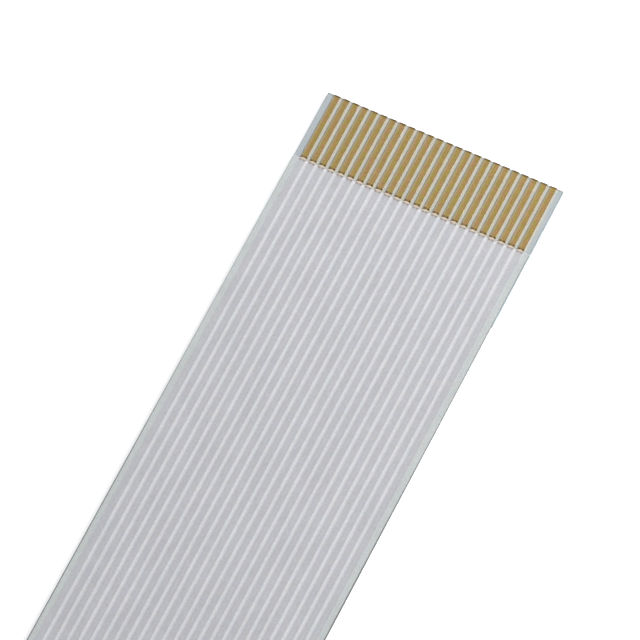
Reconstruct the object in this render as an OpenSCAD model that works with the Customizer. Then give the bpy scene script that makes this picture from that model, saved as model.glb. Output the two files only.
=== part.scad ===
// Flat flex cable: flat conductors laid side by side and sealed between two
// films, with bare contacts and a stiffener tape at each end.
// The cable runs along Y and lies flat with its contacts up. The origin is
// under its middle, on the surface that it lies on.

/* [Cable] */
// Length of the cable from cut end to cut end
cable_len = 80; // [40:1:300]
// Number of conductors
conductor_count = 24; // [4:1:40]
// Distance between the centres of neighbouring conductors
pitch = 0.5; // [0.5:0.05:1.25]
// Distance from the centre of an outer conductor to the side edge
side_margin = 0.5; // [0.3:0.05:1.5]

/* [Conductors] */
// Width of a conductor
conductor_w = 0.35; // [0.2:0.01:0.4]
// Thickness of a conductor
conductor_t = 0.05; // [0.03:0.005:0.08]

/* [Films] */
// Thickness of one film with its adhesive
film_t = 0.045; // [0.03:0.005:0.08]
// Width beside a conductor over which a film comes down to meet the other
film_draw_w = 0.07; // [0.03:0.01:0.15]
// Height of the rib that each conductor raises on the cable's outer faces
rib_h = 0.006; // [0.002:0.002:0.03]
// Length of bare contact at each end
contact_len = 3.9; // [2:0.1:8]

/* [Stiffeners] */
// Length of the stiffener tape at each end
stiffener_len = 8; // [4:0.5:18]
// Thickness of a finished end, from under the stiffener to the contact face
end_t = 0.3; // [0.25:0.01:0.5]

/* [Hidden] */
cable_w = (conductor_count - 1) * pitch + 2 * side_margin;
film_len = cable_len - 2 * contact_len;
// All heights in the sections below are counted from the middle of the
// conductors, which lies this high above the surface under the cable.
core_z = end_t - conductor_t / 2;
edge_r = conductor_t / 2;

// A conductor's rolled edge is rounded in this many steps.
edge_steps = 4;
edge_angle = 180 / edge_steps;
side_x = conductor_w / 2;

// Steps of the curve in which a film comes down beside a conductor
draw_steps = 3;
gap_w = pitch - conductor_w;
margin_w = side_margin - side_x;
draw_w = min(film_draw_w, 0.45 * gap_w, 0.9 * margin_w);

// The base film holds the lower half of each conductor. Between them its
// adhesive sinks to a level bed, this far below their middle, within this
// width, so that the bare contacts stand proud of it by their thickness.
bed_drop = edge_r;
bed_draw_w = 0.5 * draw_w;

function conductor_x(i) = (i - (conductor_count + 1) / 2) * pitch;
function conductor_name(i) = str("conductor_", i < 10 ? "0" : "", i);

// Point on the rounded edge of a conductor, on its right (side 1) or left
// (side -1), at an angle above the middle
function edge_point(side, angle) = [
    side * (conductor_w / 2 - edge_r + edge_r * cos(angle)),
    edge_r * sin(angle)
];

// The film's height beside a conductor falls from top to valley along a
// parabola that is level where it meets the valley.
function draw_z(step, top, valley) =
    valley + (top - valley) * pow(1 - step / draw_steps, 2);

function shift_x(points, dx) = [for (p = points) [p[0] + dx, p[1]]];
function flip_z(points) = [for (p = points) [p[0], -p[1]]];
function reversed(points) = [for (k = [len(points) - 1 : -1 : 0]) points[k]];

// One film surface from the left side edge to the right one. It passes each
// conductor along the points in crest, and beside it drops from top to valley
// within the width w.
function film_surface(crest, top, valley, w) = concat(
    [[-cable_w / 2, valley]],
    [for (i = [1 : conductor_count])
        for (p = shift_x(crest_with_slopes(crest, top, valley, w), conductor_x(i))) p],
    [[cable_w / 2, valley]]
);
function crest_with_slopes(crest, top, valley, w) = concat(
    [for (s = [draw_steps : -1 : 1])
        [-side_x - w * s / draw_steps, draw_z(s, top, valley)]],
    crest,
    [for (s = [1 : draw_steps])
        [side_x + w * s / draw_steps, draw_z(s, top, valley)]]
);

// Outer face of a film: a flat rib over each conductor
rib_top = edge_r + film_t;
outer_face = film_surface(
    [[-side_x, rib_top], [side_x, rib_top]], rib_top, rib_top - rib_h, draw_w);

// Where the films meet. They part at the middle of each conductor's sides, and
// the cover film closes over its upper half.
bed_crest = concat(
    [for (a = [0 : -edge_angle : -90]) edge_point(-1, a)],
    [for (a = [-90 : edge_angle : 0]) edge_point(1, a)]
);
lid_crest = concat(
    [for (a = [0 : edge_angle : 90]) edge_point(-1, a)],
    [for (a = [90 : -edge_angle : 0]) edge_point(1, a)]
);
bed_face = film_surface(bed_crest, 0, -bed_drop, bed_draw_w);
lid_face = film_surface(lid_crest, 0, -bed_drop, bed_draw_w);

conductor_section = concat(
    [for (a = [-90 : edge_angle : 90]) edge_point(1, a)],
    [for (a = [90 : -edge_angle : -90]) edge_point(-1, a)]
);

// Draws a section, in X and Z, over a length of the cable from y0 to y1.
module along_cable(section, y0, y1) {
    translate([0, y1, core_z])
        rotate([90, 0, 0])
            linear_extrude(height = y1 - y0)
                polygon(section);
}

module conductor(i) {
    color("goldenrod")
        along_cable(shift_x(conductor_section, conductor_x(i)),
                    -cable_len / 2, cable_len / 2);
}

module base_film() {
    color("lightsteelblue")
        along_cable(concat(flip_z(outer_face), reversed(bed_face)),
                    -cable_len / 2, cable_len / 2);
}

module cover_film() {
    color("lavender")
        along_cable(concat(lid_face, reversed(outer_face)),
                    -film_len / 2, film_len / 2);
}

// The stiffener is flat below, and its adhesive fills the base film's valleys.
// It ends flush with the cable, at end A (side 1) or end B (side -1).
module stiffener(side) {
    inner_y = side * (cable_len / 2 - stiffener_len);
    outer_y = side * cable_len / 2;
    color("lightblue")
        along_cable(concat([[-cable_w / 2, -core_z], [cable_w / 2, -core_z]],
                           reversed(flip_z(outer_face))),
                    min(inner_y, outer_y), max(inner_y, outer_y));
}

base_film();
cover_film();
stiffener(1);  // stiffener_a
stiffener(-1);  // stiffener_b
for (i = [1 : conductor_count])
    conductor(i);
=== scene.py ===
# Flat flex cable: finishes, film edges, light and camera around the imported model
import math

import bmesh
import bpy
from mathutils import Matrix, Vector


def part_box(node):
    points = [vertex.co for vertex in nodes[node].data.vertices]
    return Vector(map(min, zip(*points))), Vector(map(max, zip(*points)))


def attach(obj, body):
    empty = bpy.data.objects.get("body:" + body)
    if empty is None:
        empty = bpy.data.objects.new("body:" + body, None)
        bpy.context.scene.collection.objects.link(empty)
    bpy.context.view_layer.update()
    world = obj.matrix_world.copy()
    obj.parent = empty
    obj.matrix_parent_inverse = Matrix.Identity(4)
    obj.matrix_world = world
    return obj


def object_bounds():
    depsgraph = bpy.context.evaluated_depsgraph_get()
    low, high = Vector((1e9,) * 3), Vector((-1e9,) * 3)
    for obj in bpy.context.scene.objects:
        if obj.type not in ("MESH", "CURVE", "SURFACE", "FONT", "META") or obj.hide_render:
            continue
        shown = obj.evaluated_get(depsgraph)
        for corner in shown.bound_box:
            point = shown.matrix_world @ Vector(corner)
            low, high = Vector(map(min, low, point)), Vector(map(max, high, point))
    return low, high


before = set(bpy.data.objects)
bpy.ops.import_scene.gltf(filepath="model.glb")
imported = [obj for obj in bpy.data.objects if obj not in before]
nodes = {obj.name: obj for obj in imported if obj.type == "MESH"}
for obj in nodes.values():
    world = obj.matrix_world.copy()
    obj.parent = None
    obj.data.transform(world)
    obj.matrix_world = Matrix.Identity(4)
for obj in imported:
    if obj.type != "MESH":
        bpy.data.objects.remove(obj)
cadLow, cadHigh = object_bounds()
mm = 0.001

conductorNames = sorted(name for name in nodes if name.startswith("conductor_"))
firstLow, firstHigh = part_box(conductorNames[0])
secondLow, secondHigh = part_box(conductorNames[1])
coverLow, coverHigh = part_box("cover_film")

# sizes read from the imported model, in metres
cable = {
    "halfWidth": cadHigh.x,
    "halfLength": cadHigh.y,
    "pitch": secondLow.x - firstLow.x,
    "conductorHalf": (firstHigh.x - firstLow.x) / 2,
    "lastConductor": -firstLow.x,  # outer side of the outermost conductor
    "filmEnd": coverHigh.y,
    "contactTop": firstHigh.z,
    "conductorMiddle": (firstHigh.z + firstLow.z) / 2,
    "filmTop": coverHigh.z,
}
print("frame loaded:", len(nodes), "nodes, pitch", round(cable["pitch"] / mm, 3), "mm")


# ---- camera
view = {
    "azimuth": 25.76,  # degrees, 0 looks along +Y
    "elevation": 62.74,
    "distance": 377.6 * mm,
    "lens": 447.4,
    "aim": Vector((-1.235 * mm, cable["halfLength"] - 11.318 * mm, cable["contactTop"])),
}


def makeCamera():
    turn, lift = math.radians(view["azimuth"]), math.radians(view["elevation"])
    back = Vector((math.sin(turn) * math.cos(lift), -math.cos(turn) * math.cos(lift), math.sin(lift)))
    data = bpy.data.cameras.new("camera")
    data.lens = view["lens"]
    data.sensor_width = 36
    data.clip_start, data.clip_end = 0.01, 50
    camera = bpy.data.objects.new("camera", data)
    bpy.context.scene.collection.objects.link(camera)
    camera.location = view["aim"] + back * view["distance"]
    camera.rotation_mode = "QUATERNION"
    camera.rotation_quaternion = (-back).to_track_quat("-Z", "Y")
    bpy.context.scene.camera = camera


makeCamera()
print("camera ready")


# ---- small helpers for node trees
def addNode(tree, kind, **values):
    node = tree.nodes.new(kind)
    for key, value in values.items():
        setattr(node, key, value)
    return node


def plug(tree, value, socket):
    if isinstance(value, bpy.types.NodeSocket):
        tree.links.new(value, socket)
    else:
        socket.default_value = value


def calc(tree, operation, *inputs):
    node = addNode(tree, "ShaderNodeMath", operation=operation)
    for socket, value in zip(node.inputs, inputs):
        plug(tree, value, socket)
    return node.outputs[0]


def fade(tree, value, low, high, fromValue=0.0, toValue=1.0):
    node = addNode(tree, "ShaderNodeMapRange", interpolation_type="SMOOTHSTEP")
    for socket, item in zip(node.inputs, (value, low, high, fromValue, toValue)):
        plug(tree, item, socket)
    return node.outputs[0]


def ridge(tree, value, middle, half):  # 1 at the middle, smoothly down to 0 at either side
    away = calc(tree, "ABSOLUTE", calc(tree, "SUBTRACT", value, middle))
    return fade(tree, away, 0.0, half, 1.0, 0.0)


def mixColour(tree, factor, first, second, mode="MIX"):
    node = addNode(tree, "ShaderNodeMix", data_type="RGBA", blend_type=mode)
    plug(tree, factor, node.inputs[0])
    plug(tree, first, node.inputs[6])
    plug(tree, second, node.inputs[7])
    return node.outputs[2]


def shade(tree, colour, red, green, blue):  # multiplies a colour by three masks near 1
    triple = addNode(tree, "ShaderNodeCombineXYZ")
    for socket, value in zip(triple.inputs, (red, green, blue)):
        plug(tree, value, socket)
    return mixColour(tree, 1.0, colour, triple.outputs[0], "MULTIPLY")


def rgb(red, green, blue):
    return (red, green, blue, 1.0)


def axes(tree, position):
    split = addNode(tree, "ShaderNodeSeparateXYZ")
    tree.links.new(position, split.inputs[0])
    return split.outputs


def newGroup(name, inputs, outputs):
    group = bpy.data.node_groups.new(name, "ShaderNodeTree")
    for label, kind, value in inputs:
        socket = group.interface.new_socket(label, in_out="INPUT", socket_type=kind)
        if value is not None:
            socket.default_value = value
    for label in outputs:
        group.interface.new_socket(label, in_out="OUTPUT", socket_type="NodeSocketFloat")
    return group, group.nodes.new("NodeGroupInput").outputs, group.nodes.new("NodeGroupOutput").inputs


def useGroup(tree, group, values):
    node = addNode(tree, "ShaderNodeGroup", node_tree=group)
    for label, value in values.items():
        plug(tree, value, node.inputs[label])
    return node.outputs


# ---- shared effects
def makeRowGroup():  # where a point lies beside the nearest conductor's centre line
    group, source, result = newGroup(
        "conductorRow",
        [("Position", "NodeSocketVector", None), ("Pitch", "NodeSocketFloat", 0.0005),
         ("Outermost", "NodeSocketFloat", 0.00575)],
        ["From Conductor", "Offset", "In Row"],
    )
    across = axes(group, source["Position"])[0]
    part = calc(group, "FRACT", calc(group, "DIVIDE", across, source["Pitch"]))
    offset = calc(group, "MULTIPLY", calc(group, "SUBTRACT", part, 0.5), source["Pitch"])
    fromOutermost = calc(group, "SUBTRACT", calc(group, "ABSOLUTE", across), source["Outermost"])
    inside = calc(group, "LESS_THAN", fromOutermost, 0.0)
    beside = calc(group, "MULTIPLY", calc(group, "SIGN", across), calc(group, "MAXIMUM", fromOutermost, 0.0))
    offset = calc(group, "ADD", calc(group, "MULTIPLY", offset, inside), beside)
    group.links.new(calc(group, "ABSOLUTE", offset), result["From Conductor"])
    group.links.new(offset, result["Offset"])
    group.links.new(inside, result["In Row"])
    return group


def makeStreakGroup():  # noise drawn out along the cable
    group, source, result = newGroup(
        "drawnStreaks",
        [("Position", "NodeSocketVector", None), ("Across", "NodeSocketFloat", 8000.0),
         ("Along", "NodeSocketFloat", 300.0), ("Detail", "NodeSocketFloat", 3.0)],
        ["Value"],
    )
    scale = addNode(group, "ShaderNodeCombineXYZ")
    group.links.new(source["Across"], scale.inputs[0])
    group.links.new(source["Along"], scale.inputs[1])
    group.links.new(source["Across"], scale.inputs[2])
    stretch = addNode(group, "ShaderNodeVectorMath", operation="MULTIPLY")
    group.links.new(source["Position"], stretch.inputs[0])
    group.links.new(scale.outputs[0], stretch.inputs[1])
    noise = addNode(group, "ShaderNodeTexNoise", noise_dimensions="3D")
    noise.inputs["Scale"].default_value = 1.0
    noise.inputs["Roughness"].default_value = 0.55
    group.links.new(source["Detail"], noise.inputs["Detail"])
    group.links.new(stretch.outputs[0], noise.inputs["Vector"])
    group.links.new(noise.outputs[0], result["Value"])
    return group


rowGroup = makeRowGroup()
streakGroup = makeStreakGroup()


def streaks(tree, position, across, along, detail=3.0):
    values = {"Position": position, "Across": across, "Along": along, "Detail": detail}
    return useGroup(tree, streakGroup, values)["Value"]


def rowOf(tree, position):
    values = {"Position": position, "Pitch": cable["pitch"],
              "Outermost": cable["lastConductor"] - cable["conductorHalf"]}
    found = useGroup(tree, rowGroup, values)
    return found["From Conductor"], found["In Row"], found["Offset"]


def newMaterial(name):
    material = bpy.data.materials.new(name)
    material.use_nodes = True
    tree = material.node_tree
    shader = tree.nodes["Principled BSDF"]
    position = addNode(tree, "ShaderNodeTexCoord").outputs["Object"]
    return material, tree, shader, position


def addBump(tree, shader, height, depth, strength=1.0):
    bump = addNode(tree, "ShaderNodeBump")
    bump.inputs["Strength"].default_value = strength
    bump.inputs["Distance"].default_value = depth
    plug(tree, height, bump.inputs["Height"])
    tree.links.new(bump.outputs[0], shader.inputs["Normal"])


# ---- films: milky polyester, darker over each conductor, pale between
film = {
    "overConductor": rgb(0.570, 0.574, 0.615),
    "between": rgb(0.733, 0.743, 0.783),
    "margin": rgb(0.610, 0.645, 0.652),
    "bandHalf": 0.170 * mm,
    "bandSoft": 0.050 * mm,
    "cutSide": rgb(0.25, 0.28, 0.28),  # painted shade: the thin line along both long cuts
    "cutSideDark": rgb(0.13, 0.145, 0.15),
    "cutSideWidth": 0.04 * mm,
    "cutSideWide": 0.075 * mm,
    "endMargin": rgb(0.510, 0.561, 0.592),  # bare base film with the blue stiffener under it
    # colour of the painted highlight beside each bare contact
    "endHighlight": rgb(0.61, 0.625, 0.58),
    "endHighlightWarm": rgb(0.67, 0.62, 0.525),  # where the gold reflects in it
    "endBed": rgb(0.48, 0.48, 0.44),
    "coverRoughness": 0.56,
    "baseRoughness": 0.34,
}


def filmSurface(tree, fromConductor, inRow):
    low, high = film["bandHalf"] - film["bandSoft"], film["bandHalf"] + film["bandSoft"]
    band = fade(tree, fromConductor, low, high, 1.0, 0.0)
    darker = calc(tree, "MULTIPLY", ridge(tree, fromConductor, 0.11 * mm, 0.06 * mm), 0.03)
    level = calc(tree, "SUBTRACT", 1.0, darker)
    over = shade(tree, film["overConductor"], level, level, level)
    around = mixColour(tree, inRow, film["margin"], film["between"])
    return mixColour(tree, band, around, over)


def filmVariation(tree, position, surface):
    cloud = streaks(tree, position, 1500.0, 700.0)
    hue = streaks(tree, position, 4200.0, 2600.0, 2.0)
    cool = streaks(tree, position, 3600.0, 3000.0, 1.0)
    line = streaks(tree, position, 9000.0, 120.0, 2.0)
    grain = streaks(tree, position, 16000.0, 13000.0, 2.0)
    level = calc(tree, "MULTIPLY", fade(tree, cloud, 0.3, 0.7, 0.975, 1.025),
                 fade(tree, line, 0.3, 0.7, 0.988, 1.012))
    level = calc(tree, "MULTIPLY", level, fade(tree, grain, 0.3, 0.7, 0.935, 1.065))
    redder = calc(tree, "MULTIPLY", level, fade(tree, hue, 0.3, 0.7, 0.98, 1.02))
    bluer = calc(tree, "MULTIPLY", level, fade(tree, cool, 0.3, 0.7, 0.98, 1.02))
    return shade(tree, surface, redder, level, bluer), line


def cutSides(tree, surface, position):  # painted shade along both long cuts, wider and darker away from both ends
    across, along = axes(tree, position)[:2]
    fromMiddle = calc(tree, "ABSOLUTE", along)
    grown = fade(tree, fromMiddle, cable["halfLength"] - 26 * mm, cable["halfLength"] - 9 * mm, 1.0, 0.0)
    width = fade(tree, grown, 0.0, 1.0, film["cutSideWidth"], film["cutSideWide"])
    inward = calc(tree, "SUBTRACT", cable["halfWidth"], calc(tree, "ABSOLUTE", across))
    edge = fade(tree, calc(tree, "DIVIDE", inward, width), 0.2, 1.0, 1.0, 0.0)
    return mixColour(tree, edge, surface, mixColour(tree, grown, film["cutSide"], film["cutSideDark"]))


def finishFilm(tree, shader, position, surface, streak, roughness, depth):
    tree.links.new(cutSides(tree, surface, position), shader.inputs["Base Color"])
    cloud = streaks(tree, position, 700.0, 300.0)
    tree.links.new(fade(tree, cloud, 0.3, 0.7, roughness - 0.05, roughness + 0.06), shader.inputs["Roughness"])
    shader.inputs["IOR"].default_value = 1.5
    addBump(tree, shader, streak, depth, 0.6)


def makeCoverFilm():
    material, tree, shader, position = newMaterial("coverFilm")
    along = axes(tree, position)[1]
    fromConductor, inRow, _ = rowOf(tree, position)
    surface = filmSurface(tree, fromConductor, inRow)
    # by the sheared end: a fine dark line over each conductor, paler in the gaps
    fromEnd = calc(tree, "SUBTRACT", cable["filmEnd"], calc(tree, "ABSOLUTE", along))
    line = calc(tree, "MULTIPLY", fade(tree, fromEnd, 0.03 * mm, 0.09 * mm, 0.95, 0.0),
                ridge(tree, fromConductor, 0.10 * mm, 0.10 * mm))
    warm = calc(tree, "MULTIPLY", fade(tree, fromEnd, 0.0, 0.22 * mm, 0.32, 0.0),
                fade(tree, fromConductor, 0.12 * mm, 0.18 * mm, 1.0, 0.0))
    pale = calc(tree, "MULTIPLY", ridge(tree, fromEnd, 0.05 * mm, 0.12 * mm),
                fade(tree, fromConductor, 0.18 * mm, 0.24 * mm, 0.0, 0.7))
    surface = mixColour(tree, line, surface, rgb(0.20, 0.17, 0.15))
    surface = mixColour(tree, warm, surface, rgb(0.42, 0.34, 0.28))
    surface = mixColour(tree, calc(tree, "MULTIPLY", pale, inRow), surface, rgb(0.86, 0.86, 0.89))
    surface, streak = filmVariation(tree, position, surface)
    finishFilm(tree, shader, position, surface, streak, film["coverRoughness"], 0.0012 * mm)
    return material


def makeBaseFilm():
    material, tree, shader, position = newMaterial("baseFilm")
    fromMiddle = calc(tree, "ABSOLUTE", axes(tree, position)[1])
    fromConductor, inRow, offset = rowOf(tree, position)
    covered = filmSurface(tree, fromConductor, inRow)
    side = cable["conductorHalf"]
    # a painted highlight: a pale strip along one side of each contact, most of the way to the next
    paintedHighlight = calc(tree, "MULTIPLY", fade(tree, offset, side + 0.01 * mm, side + 0.045 * mm),
                 fade(tree, offset, 0.25 * mm, 0.29 * mm, 1.0, 0.0))
    # the same painted highlight, carried on across the middle of the gap
    wrappedHighlight = calc(tree, "MULTIPLY", inRow, fade(tree, offset, -0.235 * mm, -0.19 * mm, 1.0, 0.0))
    paintedHighlight = calc(tree, "MAXIMUM", paintedHighlight, wrappedHighlight)
    tint = streaks(tree, position, 5200.0, 2600.0, 1.0)
    gap = mixColour(tree, fade(tree, tint, 0.35, 0.65), film["endHighlight"], film["endHighlightWarm"])
    bed = mixColour(tree, inRow, film["endMargin"], film["endBed"])
    bare = mixColour(tree, paintedHighlight, bed, gap)
    pastCover = fade(tree, fromMiddle, cable["filmEnd"] - 0.01 * mm, cable["filmEnd"])
    surface, streak = filmVariation(tree, position, mixColour(tree, pastCover, covered, bare))
    atCut = fade(tree, fromMiddle, cable["halfLength"] - 0.12 * mm, cable["halfLength"] - 0.02 * mm, 0.0, 0.6)
    surface = mixColour(tree, atCut, surface, rgb(0.28, 0.28, 0.28))
    finishFilm(tree, shader, position, surface, streak, film["baseRoughness"], 0.0015 * mm)
    return material


# ---- contacts: flat rolled copper with a gold finish, duller along the rolled edges, with painted shade widening that band on one side
gold = {
    "olive": rgb(0.745, 0.585, 0.16),
    "orange": rgb(0.855, 0.515, 0.24),
    # grey-brown of the dull rolled edges, which also carries the painted shade on one side
    "edge": rgb(0.395, 0.36, 0.255),
    "shadeAndDullStart": 0.03 * mm,  # from the centre line, on the side away from the painted highlight, where painted shade widens the dull edge
    "shadeAndDullFull": 0.165 * mm,
    "edgeStart": 0.12 * mm,
    "edgeFull": 0.17 * mm,
    "cut": rgb(0.10, 0.055, 0.02),
    "roughness": 0.36,
}


def makeGold():
    material, tree, shader, position = newMaterial("goldContact")
    fromMiddle = calc(tree, "ABSOLUTE", axes(tree, position)[1])
    fromConductor, _, offset = rowOf(tree, position)
    patches = streaks(tree, position, 8500.0, 4200.0, 2.0)
    mottle = streaks(tree, position, 9000.0, 5000.0, 3.0)
    rolled = streaks(tree, position, 26000.0, 900.0, 3.0)
    grain = streaks(tree, position, 18000.0, 15000.0, 2.0)
    surface = mixColour(tree, fade(tree, patches, 0.36, 0.64), gold["olive"], gold["orange"])
    level = calc(tree, "MULTIPLY", fade(tree, mottle, 0.3, 0.7, 0.93, 1.07), fade(tree, rolled, 0.3, 0.7, 0.95, 1.05))
    level = calc(tree, "MULTIPLY", level, fade(tree, grain, 0.3, 0.7, 0.87, 1.13))
    rim = calc(tree, "MULTIPLY", ridge(tree, offset, 0.135 * mm, 0.06 * mm), 0.2)
    level = calc(tree, "MULTIPLY", level, calc(tree, "SUBTRACT", 1.0, rim))
    surface = shade(tree, surface, level, level, level)
    # dull rolled edges on both sides; on the side away from the painted highlight the band reaches far inward as
    # painted shade
    edge = calc(tree, "MAXIMUM", fade(tree, offset, -gold["shadeAndDullFull"], -gold["shadeAndDullStart"], 1.0, 0.0),
                fade(tree, offset, gold["edgeStart"], gold["edgeFull"]))
    surface = mixColour(tree, edge, surface, gold["edge"])
    # darker at the cut end, and dark marks against the film, deepest at the contact's corners
    darkAtEnd = fade(tree, fromMiddle, cable["halfLength"] - 0.13 * mm, cable["halfLength"] - 0.05 * mm, 0.0, 0.7)
    beyondFilm = calc(tree, "SUBTRACT", fromMiddle, cable["filmEnd"])
    corner = calc(tree, "ADD", 0.42, calc(tree, "MULTIPLY", ridge(tree, fromConductor, 0.105 * mm, 0.07 * mm), 0.5))
    mark = calc(tree, "MULTIPLY", fade(tree, beyondFilm, 0.19 * mm, 0.27 * mm, 1.0, 0.0), corner)
    surface = mixColour(tree, calc(tree, "MAXIMUM", darkAtEnd, mark), surface, gold["cut"])
    tree.links.new(surface, shader.inputs["Base Color"])
    tree.links.new(fade(tree, edge, 0.0, 1.0, 1.0, 0.25), shader.inputs["Metallic"])
    rough = calc(tree, "ADD", fade(tree, mottle, 0.3, 0.7, gold["roughness"] + 0.06, gold["roughness"] - 0.06),
                 calc(tree, "MULTIPLY", edge, 0.2))
    tree.links.new(rough, shader.inputs["Roughness"])
    addBump(tree, shader, rolled, 0.002 * mm, 0.5)
    return material


# ---- stiffener: pale blue polyester tape
tape = {"colour": rgb(0.50, 0.61, 0.68), "deep": rgb(0.45, 0.575, 0.655), "roughness": 0.5}


def makeTape():
    material, tree, shader, position = newMaterial("stiffenerTape")
    cloud = streaks(tree, position, 1500.0, 1500.0, 4.0)
    grain = streaks(tree, position, 30000.0, 30000.0, 2.0)
    surface = mixColour(tree, fade(tree, cloud, 0.3, 0.7), tape["deep"], tape["colour"])
    level = fade(tree, grain, 0.25, 0.75, 0.95, 1.05)
    tree.links.new(shade(tree, surface, level, level, level), shader.inputs["Base Color"])
    tree.links.new(fade(tree, cloud, 0.3, 0.7, tape["roughness"] - 0.05, tape["roughness"] + 0.05),
                   shader.inputs["Roughness"])
    addBump(tree, shader, grain, 0.002 * mm, 0.4)
    return material


def dress(node, material):
    node.data.materials.clear()
    node.data.materials.append(material)


goldMaterial = makeGold()
tapeMaterial = makeTape()
dress(nodes["base_film"], makeBaseFilm())
dress(nodes["cover_film"], makeCoverFilm())
dress(nodes["stiffener_a"], tapeMaterial)
dress(nodes["stiffener_b"], tapeMaterial)
for name in conductorNames:
    dress(nodes[name], goldMaterial)
print("materials done")


# ---- sheared lip of the cover film: glue pressed out in front of its edge, riding over each contact
lip = {
    "reach": 0.155 * mm,  # from the film's edge, over the middle of a contact
    "reachInGap": 0.110 * mm,
    "perPitch": 24,  # columns for each conductor
    "steps": 6,  # rows down the slope
    "filmDraw": 0.067 * mm,  # width beside a conductor over which the film comes down
    "ribHeight": 0.006 * mm,
    "bedDraw": 0.034 * mm,  # the same for the base film's bed, and how far that sinks
    "bedDrop": 0.025 * mm,
    "overContact": rgb(0.61, 0.505, 0.40),
    "overSide": rgb(0.51, 0.455, 0.39),
    "overGap": rgb(0.50, 0.49, 0.46),
    "overMargin": rgb(0.52, 0.56, 0.58),
    "roughness": 0.4,
}


def fromNearest(x):  # distance from the nearest conductor's centre line
    pitch, last = cable["pitch"], cable["lastConductor"] - cable["conductorHalf"]
    if abs(x) > last:
        return abs(x) - last
    return abs((x / pitch) % 1.0 - 0.5) * pitch


def sunk(away, width):  # 0 over a conductor, 1 where the film beside it is right down
    part = min(max((away - cable["conductorHalf"]) / width, 0.0), 1.0)
    return 1 - (1 - part) ** 2


def lipPoint(x, row):
    away = fromNearest(x)
    rounding = cable["contactTop"] - cable["conductorMiddle"]
    past = min(max(away - cable["conductorHalf"] + rounding, 0.0), rounding)
    bottom = cable["conductorMiddle"] + math.sqrt(rounding ** 2 - past ** 2)
    bottom -= lip["bedDrop"] * sunk(away, lip["bedDraw"])
    top = cable["filmTop"] - lip["ribHeight"] * sunk(away, lip["filmDraw"])
    swell = 0.5 + 0.5 * math.cos(math.pi * min(away / (0.5 * cable["pitch"]), 1.0))
    reach = lip["reachInGap"] + (lip["reach"] - lip["reachInGap"]) * swell
    if row == 0 or row == lip["steps"] + 2:
        return 0.0, bottom - 0.003 * mm
    part = (row - 1) / lip["steps"]
    height = top + (bottom - top) * part ** 1.25
    return reach * part, height - 0.003 * mm * part


def makeLip(name, side):
    columns = int(round(2 * cable["halfWidth"] / cable["pitch"])) * lip["perPitch"]
    bm = bmesh.new()
    bmesh.ops.create_grid(bm, x_segments=columns, y_segments=lip["steps"] + 2, size=1)
    for vertex in bm.verts:
        x = vertex.co.x * (cable["halfWidth"] - 0.004 * mm)
        row = int(round((vertex.co.y + 1) / 2 * (lip["steps"] + 2)))
        forward, height = lipPoint(x, row)
        vertex.co = (x, side * (cable["filmEnd"] - 0.001 * mm + forward), height)
    bmesh.ops.remove_doubles(bm, verts=bm.verts, dist=0.0005 * mm)
    bmesh.ops.holes_fill(bm, edges=[edge for edge in bm.edges if edge.is_boundary], sides=0)
    bmesh.ops.recalc_face_normals(bm, faces=bm.faces)
    for face in bm.faces:
        face.smooth = len(face.verts) == 4
    mesh = bpy.data.meshes.new(name)
    bm.to_mesh(mesh)
    bm.free()
    piece = bpy.data.objects.new(name, mesh)
    bpy.context.scene.collection.objects.link(piece)
    return piece


def makeLipMaterial():
    material, tree, shader, position = newMaterial("pressedGlue")
    fromConductor, inRow, _ = rowOf(tree, position)
    around = mixColour(tree, inRow, lip["overMargin"], lip["overGap"])
    beside = fade(tree, fromConductor, 0.16 * mm, 0.20 * mm, 1.0, 0.0)
    over = fade(tree, fromConductor, 0.05 * mm, 0.10 * mm, 1.0, 0.0)
    surface = mixColour(tree, over, mixColour(tree, beside, around, lip["overSide"]), lip["overContact"])
    uneven = streaks(tree, position, 9000.0, 9000.0)
    grain = streaks(tree, position, 30000.0, 30000.0, 2.0)
    level = calc(tree, "MULTIPLY", fade(tree, uneven, 0.3, 0.7, 0.92, 1.08), fade(tree, grain, 0.25, 0.75, 0.95, 1.05))
    tree.links.new(shade(tree, surface, level, level, level), shader.inputs["Base Color"])
    tree.links.new(fade(tree, uneven, 0.3, 0.7, lip["roughness"] - 0.06, lip["roughness"] + 0.06),
                   shader.inputs["Roughness"])
    addBump(tree, shader, uneven, 0.003 * mm, 0.5)
    return material


lipMaterial = makeLipMaterial()
for letter, side in (("a", 1), ("b", -1)):
    piece = makeLip("film_lip_" + letter, side)
    piece.data.materials.append(lipMaterial)
    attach(piece, "root")
print("film lips done")


# ---- studio: pale floor, white all round, soft panels
studio = {
    "floorSize": 6.0,
    "floorColour": rgb(0.82, 0.82, 0.82),
    "floorLift": 0.62,  # added for the camera only, so that the bare floor is white
    "floorLiftFar": 0.66,
    "horizon": 0.85,
    "ceiling": 0.22,
    "skyTint": rgb(0.975, 0.99, 1.03),
    "keyTint": (1.0, 0.985, 0.94),
    "keyShare": 0.60,  # of a white surface's level, at the near end of the cable
    "tipShare": 0.06,
    "fillShare": 0.02,
    "glintShare": 0.010,  # faint, seen by the camera in the bare metal
}


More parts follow.
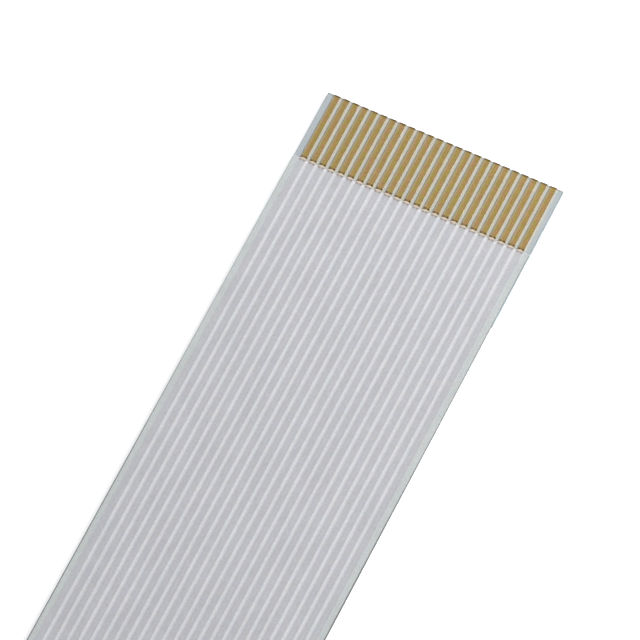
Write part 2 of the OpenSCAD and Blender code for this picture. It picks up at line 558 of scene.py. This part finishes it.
def makeFloor():
    bpy.ops.mesh.primitive_plane_add(size=studio["floorSize"], location=(0, 0, 0))
    floor = bpy.context.object
    floor.name = "floor"
    material = bpy.data.materials.new("floorPaper")
    material.use_nodes = True
    tree = material.node_tree
    tree.nodes.remove(tree.nodes["Principled BSDF"])
    paper = addNode(tree, "ShaderNodeBsdfDiffuse")
    paper.inputs["Color"].default_value = studio["floorColour"]
    glow = addNode(tree, "ShaderNodeEmission")
    light = addNode(tree, "ShaderNodeLightPath").outputs
    seen = calc(tree, "MAXIMUM", calc(tree, "MAXIMUM", light["Is Camera Ray"], light["Is Glossy Ray"]),
                light["Is Transmission Ray"])
    position = addNode(tree, "ShaderNodeTexCoord").outputs["Object"]
    away = addNode(tree, "ShaderNodeVectorMath", operation="LENGTH")
    tree.links.new(position, away.inputs[0])
    lift = fade(tree, away.outputs["Value"], 0.05, 0.4, studio["floorLift"], studio["floorLiftFar"])
    tree.links.new(calc(tree, "MULTIPLY", seen, lift), glow.inputs["Strength"])
    both = addNode(tree, "ShaderNodeAddShader")
    tree.links.new(paper.outputs[0], both.inputs[0])
    tree.links.new(glow.outputs[0], both.inputs[1])
    tree.links.new(both.outputs[0], tree.nodes["Material Output"].inputs["Surface"])
    floor.data.materials.append(material)


def makeWorld():
    world = bpy.data.worlds.new("studio")
    bpy.context.scene.world = world
    world.use_nodes = True
    tree = world.node_tree
    background = tree.nodes["Background"]
    upward = axes(tree, addNode(tree, "ShaderNodeTexCoord").outputs["Generated"])[2]
    dome = fade(tree, upward, 0.05, 0.8, studio["horizon"], studio["ceiling"])
    seen = addNode(tree, "ShaderNodeLightPath").outputs["Is Camera Ray"]
    tree.links.new(calc(tree, "MAXIMUM", dome, seen), background.inputs["Strength"])
    tree.links.new(mixColour(tree, seen, studio["skyTint"], rgb(1, 1, 1)), background.inputs["Color"])


def addPanel(name, target, offset, size, share, colour=(1, 1, 1)):
    data = bpy.data.lights.new(name, "AREA")
    data.shape = "SQUARE"
    data.size = size
    data.energy = math.pi ** 2 * Vector(offset).length_squared * share
    data.color = colour
    lamp = bpy.data.objects.new(name, data)
    bpy.context.scene.collection.objects.link(lamp)
    lamp.location = Vector(target) + Vector(offset)
    lamp.rotation_euler = (-Vector(offset)).to_track_quat("-Z", "Y").to_euler()
    lamp.visible_camera = False


makeFloor()
makeWorld()
tip = (0, cable["halfLength"], 0)
addPanel("keyPanel", tip, (0.108, 0.076, 0.133), 0.075, studio["keyShare"] / 0.71, studio["keyTint"])
addPanel("tipPanel", tip, (-0.015, 0.060, 0.024), 0.03, studio["tipShare"] / 0.365)
addPanel("fillPanel", tip, (-0.16, -0.10, 0.30), 0.25, studio["fillShare"] / 0.85)
addPanel("glintPanel", tip, (-0.06, 0.123, 0.267), 0.13, studio["glintShare"] / 0.89)
bpy.context.scene.view_settings.view_transform = "Standard"
print("studio done")
